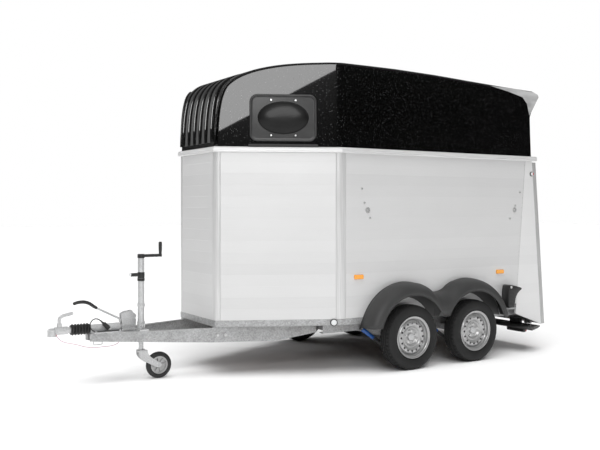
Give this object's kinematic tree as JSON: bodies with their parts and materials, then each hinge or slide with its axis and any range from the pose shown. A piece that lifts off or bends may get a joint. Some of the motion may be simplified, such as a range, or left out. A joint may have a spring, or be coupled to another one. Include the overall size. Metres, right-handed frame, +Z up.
{
  "type": "livestock trailer",
  "caption": "Braked tandem-axle horse trailer with plank walls, a moulded dark hood, rear loading ramp, overrun coupling and jockey wheel.",
  "frame": {"origin": "on the ground, below the middle of the whole trailer", "axes": "+X towards the rear ramp (the drawbar is at -X), +Y towards the trailer's right side, +Z up"},
  "size_m": [5.002, 2.12, 2.8],
  "materials": {
    "galvanised_steel": "matt zinc coat with a fine spangle",
    "bare_steel": "plain machined steel",
    "plank_aluminium": "satin anodised, with fine lines along the planks",
    "trim_aluminium": "satin drawn section",
    "hood_laminate": "glossy near-black gel coat with fine flecks",
    "window_acrylic": "tinted, glossy",
    "guard_plastic": "dark grey, finely grained",
    "tray_plastic": "dark grey, smooth",
    "tyre_rubber": "black, matt",
    "soft_rubber": "black, matt",
    "wheel_steel": "silver wheel enamel",
    "brake_steel": "dark, rough",
    "damper_blue": "blue gloss enamel",
    "grip_plastic": "black, slightly glossy",
    "lamp_red": "clear red lens",
    "lamp_amber": "clear amber lens",
    "plywood": "phenolic plywood, smooth",
    "curtain_fabric": "coated woven fabric",
    "cable_jacket": "black jacket, satin",
    "cable_red": "red plastic sleeve",
    "padding_vinyl": "padded vinyl, fine grain"
  },
  "bodies": {
    "chassis": {"axle_tubes": "galvanised_steel", "base_rails": "galvanised_steel", "bellows": "soft_rubber", "breakaway_cable": "cable_red", "chassis_rails": "galvanised_steel", "connector_plug": "grip_plastic", "corner_posts": "trim_aluminium", "cross_members": "galvanised_steel", "damper_front_left": "damper_blue", "damper_front_right": "damper_blue", "damper_rear_left": "damper_blue", "damper_rear_right": "damper_blue", "drawbar_arm_left": "galvanised_steel", "drawbar_arm_right": "galvanised_steel", "fasteners": "bare_steel", "fenders": "guard_plastic", "floor_deck": "plywood", "floor_mat": "soft_rubber", "front_walls": "plank_aluminium", "hood": "hood_laminate", "jockey_clamp": "galvanised_steel", "lamps": "lamp_red", "light_tray": "tray_plastic", "overrun_housing": "galvanised_steel", "partition": "padding_vinyl", "rear_cheeks": "plank_aluminium", "rear_curtain": "curtain_fabric", "safety_bars": "galvanised_steel", "side_marker_lamps": "lamp_amber", "side_walls": "plank_aluminium", "supply_cable": "cable_jacket", "top_trim": "trim_aluminium", "wheel_chocks": "grip_plastic", "window_panes": "window_acrylic"},
    "draw_unit": {"draw_shaft": "bare_steel", "coupling_head": "galvanised_steel"},
    "coupling_lever": {"coupling_handle": "grip_plastic"},
    "handbrake": {"handbrake_lever": "grip_plastic"},
    "clamp_handle": {"clamp_lever": "bare_steel"},
    "jockey_leg": {"jockey_outer_tube": "galvanised_steel"},
    "jockey_inner": {"jockey_stem": "galvanised_steel"},
    "jockey_winder": {"jockey_crank": "grip_plastic"},
    "jockey_caster": {"jockey_fork": "galvanised_steel"},
    "jockey_roller": {"jockey_wheel": "soft_rubber"},
    "ramp": {"ramp_panel": "plank_aluminium", "ramp_mat": "soft_rubber"},
    "ramp_latch_left": {"latch_left": "bare_steel"},
    "ramp_latch_right": {"latch_right": "bare_steel"},
    "suspension_front_left": {"swing_arm_front_left": "brake_steel"},
    "wheel_front_left": {"rim_front_left": "wheel_steel", "tyre_front_left": "tyre_rubber"},
    "suspension_front_right": {"swing_arm_front_right": "brake_steel"},
    "wheel_front_right": {"rim_front_right": "wheel_steel", "tyre_front_right": "tyre_rubber"},
    "suspension_rear_left": {"swing_arm_rear_left": "brake_steel"},
    "wheel_rear_left": {"rim_rear_left": "wheel_steel", "tyre_rear_left": "tyre_rubber"},
    "suspension_rear_right": {"swing_arm_rear_right": "brake_steel"},
    "wheel_rear_right": {"rim_rear_right": "wheel_steel", "tyre_rear_right": "tyre_rubber"}
  },
  "joints": [
    {"name": "draw_slide", "type": "slide", "parent": "chassis", "child": "draw_unit", "axis": [1, 0, 0], "range_m": [0, 0.08], "deforming": ["bellows"]},
    {"name": "coupling_lift", "type": "hinge", "parent": "draw_unit", "child": "coupling_lever", "pos_m": [-2.402, 0, 0.518], "axis": [0, -1, 0], "range_deg": [0, 35], "stiffness_Nm_per_rad": 2, "springref_deg": -20.05},
    {"name": "handbrake_pull", "type": "hinge", "parent": "chassis", "child": "handbrake", "pos_m": [-1.82, 0, 0.5], "axis": [0, 1, 0], "range_deg": [0, 55]},
    {"name": "clamp_turn", "type": "hinge", "parent": "chassis", "child": "clamp_handle", "pos_m": [-1.754, -0.151, 0.48], "axis": [1, 0, 0], "range_deg": [0, 100]},
    {"name": "leg_slide", "type": "slide", "parent": "chassis", "child": "jockey_leg", "axis": [0, 0, 1], "range_m": [0, 0.05]},
    {"name": "stem_slide", "type": "slide", "parent": "jockey_leg", "child": "jockey_inner", "axis": [0, 0, 1], "range_m": [-0.18, 0.02]},
    {"name": "crank_turn", "type": "hinge", "parent": "jockey_leg", "child": "jockey_winder", "pos_m": [-1.726, -0.105, 1.07], "axis": [0, 0, 1], "range_deg": [-16200, 1800]},
    {"name": "caster_swivel", "type": "hinge", "parent": "jockey_inner", "child": "jockey_caster", "pos_m": [-1.726, -0.105, 0.248], "axis": [0, 0, 1], "continuous": true},
    {"name": "jockey_spin", "type": "hinge", "parent": "jockey_caster", "child": "jockey_roller", "pos_m": [-1.564, -0.105, 0.115], "axis": [0, 1, 0], "continuous": true},
    {"name": "ramp_fold", "type": "hinge", "parent": "chassis", "child": "ramp", "pos_m": [2.44, 0, 0.262], "axis": [0, 1, 0], "range_deg": [0, 101]},
    {"name": "latch_turn_left", "type": "hinge", "parent": "ramp", "child": "ramp_latch_left", "pos_m": [2.38645, -0.7, 1.7], "axis": [0.9968, 0, 0.0796], "range_deg": [0, 90]},
    {"name": "latch_turn_right", "type": "hinge", "parent": "ramp", "child": "ramp_latch_right", "pos_m": [2.38645, 0.7, 1.7], "axis": [0.9968, 0, 0.0796], "range_deg": [-90, 0]},
    {"name": "suspension_front_left", "type": "hinge", "parent": "chassis", "child": "suspension_front_left", "pos_m": [0.41, 0, 0.325], "axis": [0, 1, 0], "range_deg": [-8, 5], "stiffness_Nm_per_rad": 4200, "springref_deg": 9.17, "deforming": ["damper_front_left"]},
    {"name": "wheel_spin_front_left", "type": "hinge", "parent": "suspension_front_left", "child": "wheel_front_left", "pos_m": [0.56, 0, 0.3], "axis": [0, 1, 0], "continuous": true},
    {"name": "suspension_front_right", "type": "hinge", "parent": "chassis", "child": "suspension_front_right", "pos_m": [0.41, 0, 0.325], "axis": [0, 1, 0], "range_deg": [-8, 5], "stiffness_Nm_per_rad": 4200, "springref_deg": 9.17, "deforming": ["damper_front_right"]},
    {"name": "wheel_spin_front_right", "type": "hinge", "parent": "suspension_front_right", "child": "wheel_front_right", "pos_m": [0.56, 0, 0.3], "axis": [0, 1, 0], "continuous": true},
    {"name": "suspension_rear_left", "type": "hinge", "parent": "chassis", "child": "suspension_rear_left", "pos_m": [1.19, 0, 0.325], "axis": [0, 1, 0], "range_deg": [-8, 5], "stiffness_Nm_per_rad": 4200, "springref_deg": 9.17, "deforming": ["damper_rear_left"]},
    {"name": "wheel_spin_rear_left", "type": "hinge", "parent": "suspension_rear_left", "child": "wheel_rear_left", "pos_m": [1.34, 0, 0.3], "axis": [0, 1, 0], "continuous": true},
    {"name": "suspension_rear_right", "type": "hinge", "parent": "chassis", "child": "suspension_rear_right", "pos_m": [1.19, 0, 0.325], "axis": [0, 1, 0], "range_deg": [-8, 5], "stiffness_Nm_per_rad": 4200, "springref_deg": 9.17, "deforming": ["damper_rear_right"]},
    {"name": "wheel_spin_rear_right", "type": "hinge", "parent": "suspension_rear_right", "child": "wheel_rear_right", "pos_m": [1.34, 0, 0.3], "axis": [0, 1, 0], "continuous": true}
  ],
  "couplings": [
    {"joint": "crank_turn", "follows": "stem_slide", "rad_per_m": 1570.8}
  ]
}
